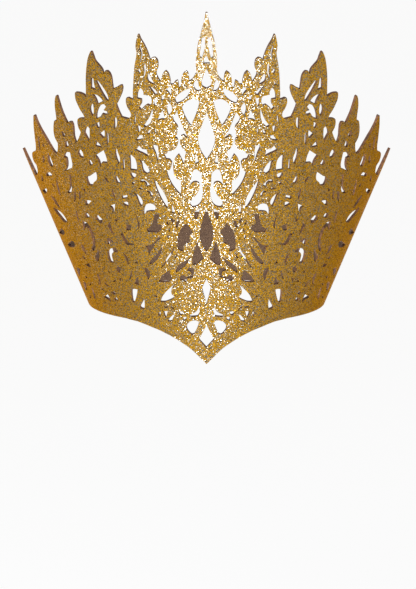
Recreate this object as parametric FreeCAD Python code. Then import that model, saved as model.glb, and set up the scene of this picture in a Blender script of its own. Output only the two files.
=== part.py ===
"""Filigree party crown: one sheet of thick glitter card, cut flat and rolled into a flaring ring.

The pattern is drawn on the flat sheet in millimetres: x sideways, y up, (0, 0) on the rim circle at the
middle of the front. The sheet is a piece of a flat ring, so rolled up it makes a cone, which is built
here from narrow flats. In the room +Z is up along the cone's axis, the origin is the centre of the rim
circle and the tall front faces -Y.
"""
import math
import os

import FreeCAD
import Part
from FreeCAD import Vector

CARD = 1.8                        # thickness of the card
RIM_RADIUS = 79.7                 # outer radius of the ring where it sits on the head
FLARE = math.radians(22.3)        # lean of the wall away from the axis
APEX = RIM_RADIUS / math.sin(FLARE)   # slant distance from the cone's point to the rim circle
RIM_EDGE = 1.6                    # slant height of the plain lower edge, away from the front
BACK_BAND = 50.0                  # slant height of the plain band behind the head
FLAT_STEP = 7.5                   # the round wall is made of flats this many degrees wide
LAP_FROM = 120.0                  # azimuth where the lapping end starts to lift off the circle
LAP_HALF = 3.75                   # the glued lap reaches this many degrees past the back, each way
LAP_PRESS = 0.25                  # how far the two glued ends are pressed into each other
REACH = 5 * CARD                  # a knife goes this far past whatever it cuts
# extra radius of the lapping end, on an axis shifted by as much: one card thicker at the very back
LAP_LIFT = (CARD - LAP_PRESS) / (1 + math.cos(math.radians(LAP_FROM)))

# openings that sit on the middle line: the right half of each, from its top to its bottom
AXIS_OPENINGS = [
    [(0, 1), (5, -10.7), (0, -17)],
    [(0, 37), (3, 29.7), (0, 16.6)],
    [(0, 90.2), (3, 80), (4.4, 72), (2.3, 61.3), (0, 57.7)],
    [(0, 160.5), (3.2, 150), (5.4, 140), (3.2, 131.5), (0, 126)],
    [(0, 191), (1.8, 186.5), (3.1, 182), (2.6, 178.8), (0, 177.2)],
    [(0, 201), (2.2, 194.9), (0, 194.9)],
]

# openings of the right half, mirrored to the left
OPENINGS = {
    "middle, low": [
        [(5, 3.2), (6.4, 4.3), (8.9, 4.1), (11.4, 2.6), (12.9, 0.1), (13, -2.7), (11.7, -5.2),
         (9.7, -7.1), (8.1, -6.6), (5.6, -0.4)],
        [(5.3, 15), (6.4, 11.8), (8.6, 9.8), (10.8, 8.7), (11, 6.8), (5.8, 7.6), (4.5, 10.7)],
        [(15, 10.4), (17.8, 10.7), (18.1, 9.3), (17.2, 7.4), (15.8, 7.9)],
        [(13.3, 6.8), (15, 6.4), (15.6, 4.8), (15, 3.2), (13.7, 4.3)],
        [(17.2, 4.3), (17, 2.3), (18.3, 0.1)],
        [(20.8, 7.3), (22.2, 7.1), (25.6, 2), (25, 1.1), (23.3, 1.8)],
        [(25.6, 9.5), (28.5, 8.8), (28.2, 6), (27, 3.5)],
        [(30.6, 7.6), (31.7, 7.6), (32, 5), (31.1, 3.4)],
        [(23.4, 15), (23.4, 12.6), (20.5, 10.1)],
        [(25.1, 13.5), (28.4, 12.7), (27.6, 11.7), (25.4, 12.2)],
        [(32.1, 20.4), (34.6, 19.6), (33.2, 18.6)],
    ],
    "middle, scrolls": [
        [(7.9, 44.6), (11.2, 45.4), (12.6, 43.5), (12.3, 42.6), (10.4, 42.1), (9.8, 40.2), (11.2, 38.2),
         (13.2, 37.9), (14.8, 39.3), (16.2, 38.8), (17.5, 36.6), (17.3, 34.7), (15.1, 34.6),
         (13.4, 33.5), (12.3, 36.8), (8.4, 37.7)],
        [(10.1, 53.8), (17.1, 47.4), (19.3, 44.3), (20.1, 41.8), (19.7, 40.2), (14.3, 45.7),
         (11.8, 49.9)],
        [(5.9, 65.2), (1.8, 52.3), (6.5, 47.3), (9, 47.2), (9.3, 50), (8, 58)],
        [(18.6, 57), (19, 52.7), (20.9, 51)],
        [(21.5, 62.4), (22.4, 57), (30.4, 42.4), (28.4, 43.8), (23, 53.2), (21.4, 57)],
        [(28.7, 59.9), (32.6, 52.7), (37.6, 45.4), (37.6, 43.6), (35.4, 44.9), (32.1, 49.3), (30, 53.2)],
        [(24.3, 41.4), (27.6, 38.8), (29.8, 35.4), (31.8, 31.4), (28.2, 31.6), (25.4, 32.4),
         (22.3, 35.2)],
        [(20.4, 31.8), (26.8, 24.3), (29.3, 19.9), (30.8, 15.7), (27.6, 16.3), (24.3, 18.2),
         (21.2, 20.5), (21.2, 21.8), (22.9, 23.2), (23.2, 25.7), (22.3, 28.8), (20.7, 30.7)],
        [(12.7, 78.8), (14.9, 76.6), (17.2, 72.4), (18.5, 67.7), (18.8, 62.4), (18.6, 58.5),
         (16.3, 57.2), (14.6, 57.6), (14.5, 61.9), (13.5, 63), (11.9, 63.3), (10.9, 64.7), (10.9, 68),
         (9.9, 70.5), (8.5, 71.8)],
    ],
    "middle, leaves": [
        [(23.4, 74.2), (24.2, 73.4), (24.4, 70.8), (23.5, 71.4)],
        [(24.5, 69), (25.4, 67.8), (25.1, 65.2), (24.3, 66.4)],
        [(4.2, 90.2), (7.5, 88), (8.1, 85.5), (7, 81.9), (5.9, 82.2)],
        [(18.5, 87.7), (18.3, 85.3), (16, 83.8)],
        [(22.2, 92), (22.2, 85.5), (20.7, 85.2), (21, 89.7)],
        [(17.4, 80.5), (18.8, 80.2), (19.9, 75.8), (19.4, 74.6), (18, 76.6)],
        [(20.2, 80.7), (23.5, 81.3), (21.6, 77.3)],
        [(25.4, 80.2), (26, 77.2), (24.1, 75.5)],
        [(32.8, 88.3), (33.8, 90), (36, 90.7), (39, 89.6), (40.7, 86.1), (41, 80.4), (39.5, 83.5),
         (36.5, 84.7), (33.9, 85)],
        [(30.7, 83.3), (33.4, 83.4), (34, 81.9), (35, 76.3), (36.7, 73), (39.4, 71), (38.5, 68.2),
         (36, 69), (33.1, 69.1), (30.6, 70.2), (28.9, 73), (29.2, 75.5), (31.7, 75.8), (31.8, 78.6),
         (30.7, 81.3)],
        [(29.8, 66.1), (31.7, 66.3), (33.9, 61.9), (36.5, 59.3), (40.7, 57.5), (39, 55.5), (38.4, 50),
         (34.9, 57), (33.5, 61), (31, 64)],
        [(6.4, 119.2), (8, 118.6), (9.1, 116.1), (10.5, 108.9), (10.5, 106.7), (8.6, 109.2),
         (6.6, 109.7), (5, 108.9), (4.4, 106.7), (4.9, 103.6), (6.4, 100.6), (10.1, 95), (10.4, 92.4),
         (9.2, 90.9), (5.9, 91.8), (3.9, 94.1), (2.6, 98.9), (2.3, 103.3), (4.1, 117.2)],
        [(6.5, 130.3), (7.2, 126), (7.1, 122.7), (4.9, 124)],
        [(12.9, 131.9), (14.5, 122.1), (17.6, 129.4), (19.9, 126.1), (21, 122.8), (21.1, 117.8),
         (20.1, 113.3), (17.9, 110.8), (16.2, 110.4), (16.5, 99.4), (19, 102.2), (22.4, 107.2),
         (25.4, 115.6), (23.2, 117.8), (22.3, 120.6), (22, 123.1), (23.5, 125), (25.7, 125.1),
         (27.4, 128.6), (25.1, 129.4), (24.3, 131.4), (21.8, 131.7), (19.9, 133.3), (18.4, 135.8),
         (18, 139), (18.6, 140.9), (20.3, 141.6), (18.9, 142.6), (18, 149), (20.8, 153.5), (21.2, 156),
         (18.5, 160), (15, 150), (11.3, 141.5), (12.4, 141.9), (14.3, 143.7), (16, 142.8), (16.8, 139.4),
         (16.2, 136), (14.6, 133.4)],
        [(31, 134.4), (34, 134.8), (34.2, 132.8), (32.9, 129.4), (31, 121.7), (30.5, 128.9)],
        [(33.9, 109.5), (32.7, 103.9), (30.2, 97.2), (26.9, 90.8), (25.5, 88.9), (24.7, 91.9),
         (25.5, 96.1), (27.2, 100), (30.8, 105.6)],
    ],
    "middle, top": [
        [(4.3, 168), (5.6, 169.2), (8.5, 169.8), (11.8, 168.5), (14, 166), (15.4, 163.4), (14.5, 159.5),
         (9.8, 150.4), (6, 160.5)],
        [(10.4, 177.5), (18.9, 171), (19.9, 169.3), (18.8, 166), (17.4, 166.5), (10.4, 175)],
        [(6, 183.8), (8, 180.6), (7.9, 178), (6, 175.5), (4.2, 175.3), (4.9, 180)],
        [(23, 178), (25.5, 175.2), (23.5, 173), (22.6, 171.3), (22, 175)],
        [(23.6, 166.4), (24.9, 162), (23.8, 156.9), (21.6, 160.8), (21.8, 163.6)],
        [(27.6, 160.4), (29.4, 157), (31, 152.4), (28.6, 153.8), (26.2, 153.8), (26.6, 157)],
        [(26.8, 170.9), (28.1, 171), (28.3, 167.4), (27, 167.6), (26.2, 169.2)],
        [(30.2, 171.6), (33, 175.4), (36.5, 177), (32.4, 171)],
        [(30.6, 169.4), (32.2, 168.4), (33.2, 164.2), (32.4, 162.4), (31.3, 165.6)],
        [(0.9, 213.3), (2.7, 213), (4.3, 199.8), (3, 198.2), (1.5, 203.5)],
    ],
    "second spike": [
        [(41.5, 205.2), (41.8, 203), (40.9, 199.5), (42.2, 192), (40.8, 195), (39.9, 199), (40.4, 202)],
        [(38.1, 192.5), (39.4, 190), (39.2, 186.5), (40.2, 181.5), (38.6, 184.5), (38, 189)],
        [(42.3, 188.8), (43.2, 186.3), (42.2, 184.5), (41.2, 186.6)],
        [(42.3, 180), (44, 176.8), (42.9, 176)],
        [(36, 186), (37.1, 182.9), (36.4, 179.8), (33.7, 178.3), (32.7, 179)],
        [(35.3, 169.6), (39.8, 170.2), (40.3, 173.5), (41.5, 174.8), (43.2, 171.8), (43.9, 166.8),
         (41.2, 166.5), (41.3, 163), (43, 160.5), (41.5, 158.8), (39.2, 161.8), (37.4, 163.4),
         (35.7, 162.8), (34.7, 164.6), (34.7, 168)],
        [(34.2, 161), (36.8, 153), (40.2, 147.6), (38.6, 146.8), (36.4, 149), (34.4, 154)],
    ],
    "second column": [
        [(32, 146.8), (33, 146.4), (32.8, 142.8), (31.9, 143.6)],
        [(45.1, 156), (46.4, 147.6), (45.2, 151)],
        [(36.4, 114), (38, 118.4), (40.8, 121.3), (44.1, 122.7), (42, 119.9), (41.4, 116.5),
         (40.5, 113.6), (38.6, 112.4)],
        [(45.1, 113.6), (45.1, 118.7), (46.2, 122.5), (48.7, 124.6), (50, 124.5), (49.6, 119),
         (49.6, 113.4)],
        [(45.5, 110.9), (47.5, 111.5), (49.7, 111.1), (49, 108.8), (47.8, 107.2), (46.2, 108.1)],
        [(46.6, 104.7), (49, 104.5), (48.9, 103.2), (47.4, 102.4)],
        [(43.4, 105.9), (42.5, 107.2), (40.6, 107.9), (38.7, 107), (36.2, 104.2), (38.7, 102.7),
         (38.9, 104.8), (40.5, 106.2), (42.3, 105.6)],
        [(41, 100.2), (42, 101.6), (44.7, 100.9), (43, 99.8)],
        [(34.8, 96), (34.8, 98.5), (36.3, 100.1), (38.8, 99.9), (38.6, 98.9), (36.8, 98.6), (36.1, 96)],
        [(48.4, 97.2), (46.3, 94.9), (44.1, 89), (43, 87.3), (41.7, 89.1), (41.6, 91.6), (43.2, 94.4),
         (46, 96.4)],
        [(52.3, 93.8), (54, 92.8), (56.3, 92.2), (55.9, 89.6), (52, 91.5)],
        [(51.8, 88.4), (53.8, 88), (55.6, 85.8), (53.2, 85), (51.4, 85)],
        [(47.4, 83), (46.3, 79), (45.3, 73.5), (45, 69.5), (43.9, 71.5), (45.2, 77.2)],
        [(50.2, 71.3), (53.5, 70.6), (53.8, 66), (51, 66.7), (50.2, 68.6)],
        [(59.4, 74), (62.3, 71.4), (60.9, 70.3), (59.7, 72)],
        [(61.3, 84.3), (65.8, 80.8), (64.2, 80.3), (63.4, 78.5), (63.8, 75.9), (62.4, 77.8)],
        [(62.8, 96.5), (63.2, 94), (62, 89), (61.2, 87.3), (60.9, 90)],
        [(59.6, 106.7), (60.3, 104.7), (59, 100.7), (56.5, 101.5), (57.6, 103.8)],
        [(68.4, 103.6), (68.2, 101.7), (66.2, 99.7), (65.2, 100.3), (66.8, 102.6)],
        [(38.3, 130.6), (41, 130.4), (43.6, 132.9), (44.5, 130.3), (46, 129), (40.6, 127),
         (37.3, 125.3)],
        [(40.7, 140.4), (43, 140.4), (43.6, 138.5), (46.2, 136.2), (43.8, 136.4), (41, 137.8)],
        [(42, 147), (44.5, 147.4), (43.6, 142), (42.4, 144)],
        [(35.3, 146), (37, 144), (37.8, 141.8), (36, 142.6)],
        [(53.6, 120.2), (54.8, 119.8), (54.6, 112.3), (53.3, 113.5)],
        [(58.5, 127.2), (59.6, 126), (59.6, 121), (57.5, 115.5), (56.6, 121)],
        [(58.3, 150.5), (59.8, 149), (59.8, 141.2), (58.6, 143)],
    ],
    "third spike": [
        [(63.2, 161.2), (64, 166), (66.5, 170), (70.2, 174.5), (72, 174.3), (69, 168.3), (64.6, 161.3)],
        [(73.4, 175.2), (75, 175.4), (75.4, 167.5), (72, 167), (73, 171)],
        [(67.2, 160), (69.2, 162.5), (72.5, 163.8), (74.6, 163.2), (72.7, 160.8), (71.3, 156.7)],
        [(65.2, 156.6), (66.6, 158.2), (68.6, 157), (71, 153.2), (72.3, 149), (72.6, 145.6), (69.6, 148),
         (68.2, 150.6), (66.6, 150.4), (64.2, 151.2), (64.6, 153.2), (67, 153.6)],
        [(74.6, 156.4), (76.2, 154.4), (76.2, 148), (75.2, 146.6), (74.2, 150)],
        [(70.5, 143.8), (73, 142), (72.2, 139), (70.3, 139.8)],
        [(67, 138.7), (70.8, 134.6), (67.9, 132.2), (66.8, 135.6)],
        [(73, 129), (74.3, 124.5), (69.1, 125)],
        [(68.2, 123.3), (74.9, 117), (72.5, 114.3), (71.5, 108.7), (70, 113.4), (65.7, 114.4),
         (66.3, 118.2)],
        [(64.5, 137.5), (65.6, 136.5), (65.6, 128.3), (64.6, 129), (64.2, 134)],
    ],
    "low, side": [
        [(42.3, 15.9), (43.3, 13), (45.8, 7.7), (45.3, 6.6), (42.4, 6.5), (41.9, 10.7)],
        [(46.9, 21.2), (49.4, 20.9), (51.6, 19.4), (51.8, 15), (51.2, 9.5), (49.8, 9.7), (48.2, 14.4)],
        [(64.6, 10.9), (66.7, 12.1), (68.7, 10), (66.9, 9)],
        [(62.6, 5.2), (64.4, 7.8), (67.2, 5.7), (66, 4.2), (64.4, 5.6)],
        [(69.7, 2.2), (72.5, 6.6), (77.2, 1.4), (73.2, 1.8), (70.5, 1)],
        [(70.5, 14.3), (75.2, 16.8), (74.5, 15), (72, 13.2)],
        [(40.2, 40.7), (41.6, 39.3), (38.9, 31), (37.6, 34.5), (37.5, 37), (38.6, 39.7)],
        [(56.3, 63.6), (58.4, 61.4), (57, 60.8), (56, 57.5), (53.5, 54.5), (48.3, 56.4), (52.4, 57.1),
         (54.8, 60.2)],
        [(66, 69), (67.8, 65), (66.4, 62.6), (62.8, 58.6)],
        [(63.9, 54), (67.7, 55.6), (68.8, 53.8), (68.7, 49.2)],
        [(60.3, 46.9), (61.4, 48.4), (63.9, 48.6), (66.8, 46.8), (69, 43.8), (69.2, 40.5), (67.8, 35.4),
         (64.4, 36), (65.5, 39.4), (65.8, 43), (63.8, 45.7), (61.9, 46)],
        [(56.8, 47.5), (53.4, 38.5), (52.8, 42), (54.2, 45.7)],
        [(46.7, 44.7), (48.2, 41.9), (46, 42)],
        [(58.9, 34.8), (61.9, 34.8), (63, 32.2), (61.7, 29.8), (60.3, 30.2)],
        [(46, 32), (47.5, 29.5), (49, 25.2), (45.5, 25.2)],
        [(50.8, 35.5), (53, 27), (51.4, 29.5), (50.4, 33)],
        [(58.6, 26.9), (61.5, 24.6), (60, 23)],
        [(63.8, 24), (66, 20.6), (64.2, 20.4)],
        [(68.2, 26.5), (69.8, 28.3), (70.2, 26.2)],
    ],
    "fourth column": [
        [(87.2, 21.8), (88.6, 24.2), (93, 21), (89.5, 20.4)],
        [(92.2, 26), (93.4, 27.2), (95.6, 27), (94, 24.6)],
        [(78.8, 18.5), (79.4, 20.2), (81.6, 19), (80.4, 15.8), (80, 10.5), (78.6, 12), (78.5, 16)],
        [(76.2, 9.2), (77.8, 9.2), (78.6, 7.2), (77, 7.8)],
        [(88.9, 2), (91.2, 1.2), (90, -3), (90.2, -7), (88.6, -7.7), (87.2, -5), (87.8, -1)],
        [(89.7, 6.5), (91, 5.5), (93, 1.8), (91.6, 3)],
        [(93.7, 8.3), (95.2, 8.9), (97.5, 7), (96, 6)],
        [(98, 0.5), (100.4, 0), (103.3, -3.7), (103, -10), (100, -7), (98.5, -2.5)],
        [(95, -8), (98.5, -13.5), (95.6, -12)],
        [(102.8, 9.9), (105.5, 9), (109, 6.5), (110, 2), (108.5, -1), (106, 3)],
        [(77.5, 42.2), (78.7, 39), (81.4, 33.8), (79.6, 30.4), (78.3, 31.6), (77.1, 36), (76.7, 40)],
        [(79.8, 44), (79.4, 48), (80.3, 52.2), (82.1, 56.5), (84.8, 59.2), (87.2, 59.7), (90.1, 58.9),
         (90.2, 56.8), (89.2, 51.5), (87.1, 56), (85, 55.5), (83.2, 52), (82.2, 47), (82.3, 43.5),
         (84.2, 39), (83, 37.3), (81.2, 39.8)],
        [(92.7, 37.6), (94.9, 36.6), (94.2, 33.6), (92.3, 31.5), (89.3, 30.4)],
        [(94.4, 65.4), (95.6, 63.5), (95.4, 60), (93.6, 54.6), (93.7, 59)],
        [(71.8, 68.3), (75, 70.5), (77.7, 68.5), (76.5, 66.2), (74, 64.5), (72.4, 65)],
        [(82.5, 66), (83.8, 68), (86.2, 68), (87, 65.5), (86, 63.8), (84.6, 64.4)],
        [(80, 79.9), (82.8, 79.4), (85.3, 77.6), (85.4, 74.8), (83.8, 74.6)],
        [(74.8, 104.6), (79.5, 100), (82.7, 98), (82.8, 95.5), (81.2, 92), (78, 92.8), (77, 95.7),
         (74.8, 98.2)],
        [(84.5, 87.3), (86.5, 87.6), (86.8, 85.8), (85, 85.1)],
        [(93.8, 81.5), (95.2, 80.5), (96.4, 71.4), (94.8, 74)],
        [(89.3, 83.8), (90.6, 83), (91, 77), (90, 76.4), (89.2, 80.5)],
        [(96.4, 94.4), (98.1, 93.2), (98, 87), (98.9, 82.5), (102.4, 76.4), (99.6, 77.2), (97.4, 80.5),
         (96.6, 86)],
        [(95.4, 112), (97.5, 111.4), (101.6, 105.8), (99.6, 105.6), (99.2, 102), (99.8, 98.4),
         (102.4, 93.6), (95, 99.8), (94.2, 103)],
    ],
    "fourth spike": [
        [(78, 136.8), (79.2, 138), (80.6, 136.4), (82.1, 131.5), (78.9, 126), (78.2, 130.6)],
        [(84.3, 115.6), (85.6, 117.8), (87.4, 117.5), (88.6, 114), (87.2, 111.8), (84.4, 111.8)],
        [(76.5, 110), (78.6, 112.9), (80.4, 110.5), (79.4, 108)],
        [(96, 117.6), (97, 120.6), (98.6, 119), (99, 114.8), (97.2, 115.5)],
        [(98.2, 123.4), (99.3, 126), (100.5, 126.8), (101.5, 125), (100.5, 122.2)],
    ],
    "fifth spike": [
        [(115, 97), (116.3, 99.8), (117.6, 100.6), (118.6, 98), (118.8, 93), (117.4, 90.2), (114.8, 91),
         (113.8, 93.2)],
        [(120.6, 106), (122.2, 107), (122.8, 104), (121.3, 103)],
        [(125.2, 110.2), (127, 109), (127.8, 98.4), (126.6, 98)],
        [(123.4, 96), (124.8, 94), (126, 88.6), (124.4, 88.8), (123.2, 92)],
        [(116.8, 83.3), (119, 84.2), (125.7, 79), (124.4, 77.3), (118.5, 81)],
        [(112, 82.9), (113, 79), (112.7, 72), (111.5, 68.7), (110.1, 70), (110.2, 73)],
        [(116, 74.2), (118.4, 75.3), (119.3, 73.6), (117.2, 72.4)],
        [(129, 63.5), (131, 62.6), (141, 53.5), (136, 54.5), (131.5, 58.5)],
        [(131.5, 74), (133.2, 72), (135, 67.2), (133.2, 67.2), (131.4, 70)],
        [(107.8, 48.8), (110, 51.8), (113, 52.8), (124, 51), (125.5, 48.5), (122, 47), (114.5, 45.5),
         (110, 46.3)],
        [(113.8, 56.2), (115.3, 58.8), (118, 61), (123.5, 62.2), (124, 60), (120, 57), (116.5, 56)],
        [(103.3, 33.8), (105.6, 33.3), (112.5, 26.5), (115.5, 22.8), (112.5, 23.3), (104.5, 28.5),
         (103, 31)],
        [(115.6, 35.4), (120.3, 34.8), (122.5, 31.6), (130, 23), (125, 25.5), (120, 28.8),
         (116.8, 31.8)],
    ],
}

# upper edge of the right half, one run of points from each spike's tip to the next one
TOP_VALLEYS = [
    [(0.6, 230), (1.2, 225.3), (4.9, 210), (6.5, 198.7), (6.4, 190.5), (7.8, 185.2), (10, 182.6),
     (10.8, 182.2), (11, 185.5), (11.6, 188.2), (12.5, 189.2), (14, 188), (15.3, 185.5), (16, 178.5),
     (17.2, 176.9), (18, 182.6), (19.6, 181.5), (20.6, 179.5), (22.4, 179.3), (22.9, 184.2), (23.8, 187),
     (25.4, 188.7), (27.2, 186.5), (29, 180.8), (31.4, 185.8), (31.3, 187.7), (30.3, 190), (30.1, 193.5),
     (30.8, 196.2), (32.2, 197.4), (33.8, 196.9), (35.2, 195.4), (37, 201.4), (38.8, 205.5), (40.8, 209),
     (42, 212.2)],
    [(42.9, 212.2), (44.4, 203.8), (43.8, 199.3), (45.4, 189), (46.7, 170), (46.7, 165.4), (49.8, 166.3),
     (51.3, 165.6), (51.4, 162), (50, 158.3), (48.4, 155.6), (48.5, 153), (50, 150.8), (54.6, 151.2),
     (56.2, 154.6), (58, 159.6), (54, 169), (53.4, 173), (53.8, 174.6), (55.2, 174.2), (57.5, 172.2),
     (60, 170.6), (60.9, 179), (62, 181.7), (63.6, 182.9), (65.3, 182.3), (66.3, 179.8), (67, 183.2),
     (71.6, 188.2), (73.8, 194.3)],
    [(74.9, 194.2), (76.6, 189.8), (77.9, 183.3), (78.8, 175.4), (79.5, 159.8), (81, 161), (84.2, 161.5),
     (87.6, 160.7), (87.5, 155.6), (86, 152), (84, 148.3), (81.7, 145.2), (81.3, 143), (84.4, 142.4),
     (86.8, 141), (87.2, 138), (86.5, 134.4), (84.9, 131.8), (88, 124.3), (89.7, 121.6), (91, 126),
     (91, 131.5), (91.4, 135.4), (92.2, 136.8), (93.8, 136.4), (95.9, 134.6), (99.4, 141.5),
     (102.6, 152.6)],
    [(103.6, 152.6), (104.6, 149.5), (105.2, 145), (105, 132.2), (107.1, 131.8), (108.3, 127),
     (108.7, 121.5), (108, 117.7), (105.9, 114.8), (106.5, 110), (108.2, 104.8), (110.5, 105),
     (114, 108.2), (122.5, 117.8), (125.2, 121.8), (126.9, 126.4)],
    [(128, 126.2), (129.6, 118), (132.2, 97), (133.6, 93.6), (137, 91), (140.3, 87.3), (141.8, 82.8),
     (141.2, 79.4), (137.8, 78.4), (138.3, 73.5), (140.7, 69), (145, 64.6), (148.5, 61.8), (153, 66.4),
     (158.5, 70.4), (164.6, 74)],
]

# lower edge of the right half, from the front point outward
POINT_EDGE = [
    (0, -30), (3.9, -25.5), (10, -18.7), (16.6, -13.8), (21.6, -10.9), (27, -8.6), (32, -7), (37.5, -6),
    (42, -5.3), (47.8, -5),
]

# plain finish of the hidden side. The flank behind the last spike: degrees past that spike's tip, and
# height as a share of the way from the band's top edge up to the tip
SIDE_FLANK = [(2.3, 0.927), (4.3, 0.782), (7.3, 0.55), (11.3, 0.377), (16.8, 0.203), (24.3, 0.043)]
# a leaf-shaped opening of the band: degrees from its middle line, and height as a share of the band's
LEAF = [(0.0, 0.8), (-1.7, 0.66), (-2.3, 0.5), (-1.5, 0.34), (0.0, 0.24), (1.5, 0.34), (2.3, 0.5),
        (1.7, 0.66)]
BACK_LEAVES = [86.25, 101.25, 116.25, 131.25, 146.25, 161.25]


def flat(azimuth, slant):
    """Sheet position of a point given by its azimuth in degrees and its slant height over the rim."""
    turn = math.radians(azimuth) * math.sin(FLARE)
    return ((APEX + slant) * math.sin(turn), (APEX + slant) * math.cos(turn) - APEX)


def spot(x, y):
    """Azimuth in degrees and slant height of a sheet position."""
    return (math.degrees(math.atan2(x, y + APEX) / math.sin(FLARE)), math.hypot(x, y + APEX) - APEX)


def roll(x, y):
    """Point of the outer face that a sheet position comes to lie on."""
    slant = math.hypot(x, y + APEX) - APEX
    around = math.atan2(x, y + APEX) / math.sin(FLARE)
    radius = RIM_RADIUS + slant * math.sin(FLARE)
    return Vector(radius * math.sin(around), -radius * math.cos(around), slant * math.cos(FLARE))


def outward(x, y):
    """Direction square to the card, pointing away from the axis."""
    around = math.atan2(x, y + APEX) / math.sin(FLARE)
    return Vector(math.cos(FLARE) * math.sin(around), -math.cos(FLARE) * math.cos(around),
                  -math.sin(FLARE))


def cutter(points, middle=None):
    """Straight-sided knife through the card with the given flat outline, square to it at its middle."""
    if middle is None:
        middle = (sum(p[0] for p in points) / len(points), sum(p[1] for p in points) / len(points))
    base = roll(*middle)
    normal = outward(*middle)
    ring = []
    for x, y in points:
        place = roll(x, y)
        ring.append(place - normal * (place - base).dot(normal) + normal * REACH / 3)
    face = Part.Face(Part.makePolygon(ring + ring[:1]))
    return face.extrude(normal * -(REACH / 3 + REACH))


def band(low, top, outer, inner, from_azimuth, to_azimuth, extra=0.0):
    """Cone wall between two slant heights and two depths, in flats that meet on a fixed grid."""
    stops = [from_azimuth]
    stops += [FLAT_STEP * k for k in range(-60, 61) if from_azimuth < FLAT_STEP * k < to_azimuth]
    stops.append(to_azimuth)
    sections = []
    for azimuth in stops:
        turn = math.radians(azimuth)
        ring = []
        for slant, depth in ((low, outer), (top, outer), (top, inner), (low, inner)):
            radius = RIM_RADIUS + extra + slant * math.sin(FLARE) - depth * math.cos(FLARE)
            ring.append(Vector(radius * math.sin(turn), -radius * math.cos(turn),
                               slant * math.cos(FLARE) + depth * math.sin(FLARE)))
        sections.append(ring)
    faces = [Part.Face(Part.makePolygon(ring + ring[:1])) for ring in (sections[0], sections[-1])]
    for here, there in zip(sections, sections[1:]):
        for k in range(4):
            n = (k + 1) % 4
            faces.append(Part.Face(Part.makePolygon([here[k], here[n], there[n], there[k], here[k]])))
    solid = Part.Solid(Part.Shell(faces))
    return solid if solid.Volume > 0 else solid.reversed()


def over(point, turn):
    """Sheet position high above a point, a little to one side of it."""
    return flat(spot(*point)[0] + turn, SHEET_TOP + REACH)


def valley(run):
    """Outline of the waste between two tips; it laps over both of them so that they come off clean."""
    (x0, y0), (x1, y1) = run[0], run[1]
    grow = 1.5 / math.hypot(x0 - x1, y0 - y1)
    entry = (x0 + (x0 - x1) * grow, y0 + (y0 - y1) * grow)
    leave = (run[-1][0] + 2.6, run[-1][1])
    return [entry] + run + [leave, over(leave, 1.5), over(entry, -1.5)]


def knives():
    """Every cutter of the right half, the two that sit on the middle line left out."""
    found = [cutter(points) for group in OPENINGS.values() for points in group]
    for run in TOP_VALLEYS:
        middle = ((run[0][0] + run[-1][0]) / 2, (run[0][1] + run[-1][1]) / 2)
        found.append(cutter(valley(run), middle))
    tip_azimuth, tip_slant = spot(*LAST_TIP)
    flank = [flat(tip_azimuth + turn, BACK_BAND + share * (tip_slant - BACK_BAND))
             for turn, share in SIDE_FLANK]
    found.append(cutter([(LAST_TIP[0] + 0.4, LAST_TIP[1] + 1.5)] + flank
                        + [over(flank[-1], 1.0), over(flank[0], -1.5)], flank[2]))
    x, y = POINT_EDGE[0][0] - 1.3, POINT_EDGE[0][1] - 1.5
    below = [flat(RIM_FROM + 1.5, RIM_EDGE - 0.6), flat(RIM_FROM + 2.0, SHEET_LOW - REACH), (20, -62),
             (x - 2, y - 30)]
    found.append(cutter([(x, y)] + POINT_EDGE + below,
                        POINT_EDGE[5]))
    for azimuth in BACK_LEAVES:
        leaf = [flat(azimuth + turn, share * BACK_BAND) for turn, share in LEAF]
        found.append(cutter(leaf))
    return found


# heights and places that follow from the outline
FIRST_TIP, LAST_TIP = TOP_VALLEYS[0][0], TOP_VALLEYS[-1][-1]
SHEET_TOP = FIRST_TIP[1] + 1.0                      # above the tallest tip
SHEET_LOW = POINT_EDGE[0][1] - 1.0                  # below the front point
BACK_FROM = spot(*LAST_TIP)[0] + SIDE_FLANK[-1][0] - 1.0   # the plain band starts within the flank
RIM_FROM = spot(*POINT_EDGE[-1])[0] + 3.5           # the plain lower edge starts past the point's

# the sheet: one long stretch on the main cone, and the end that laps over it behind the head
wall = band(SHEET_LOW, SHEET_TOP, 0, CARD, -180 - LAP_HALF, LAP_FROM)
lapping_end = band(SHEET_LOW, BACK_BAND + REACH, 0, CARD, LAP_FROM, 180 + LAP_HALF, LAP_LIFT)
turn = math.radians(LAP_FROM)
lapping_end.translate(Vector(-LAP_LIFT * math.sin(turn), LAP_LIFT * math.cos(turn), 0))
sheet = wall.fuse(lapping_end)

# everything that is cut away: the two plain bands, then the pattern, right half and left half
sheet = sheet.cut([band(BACK_BAND, SHEET_TOP + REACH, -REACH, REACH, BACK_FROM, 360 - BACK_FROM),
                   band(SHEET_LOW - REACH, RIM_EDGE, -REACH, REACH, RIM_FROM, 360 - RIM_FROM)])
right = knives()
left = [knife.mirror(Vector(0, 0, 0), Vector(1, 0, 0)) for knife in right]
centre = [cutter(half + [(-x, y) for x, y in reversed(half) if x > 0]) for half in AXIS_OPENINGS]
tip = FIRST_TIP[1]
centre.append(cutter([(-3, tip), (3, tip), (3, tip + REACH), (-3, tip + REACH)]))
crown = sheet.cut(right + left + centre)

if len(crown.Solids) != 1 or not crown.isValid():
    raise RuntimeError("the crown is %d solids, valid: %s" % (len(crown.Solids), crown.isValid()))
os.makedirs("parts", exist_ok=True)
crown.Solids[0].exportStep("parts/crown.step")
box = crown.BoundBox
print("crown: %.1f x %.1f x %.1f mm, z from %.1f, volume %.0f mm3, %d faces"
      % (box.XLength, box.YLength, box.ZLength, box.ZMin, crown.Volume, len(crown.Faces)))
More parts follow.
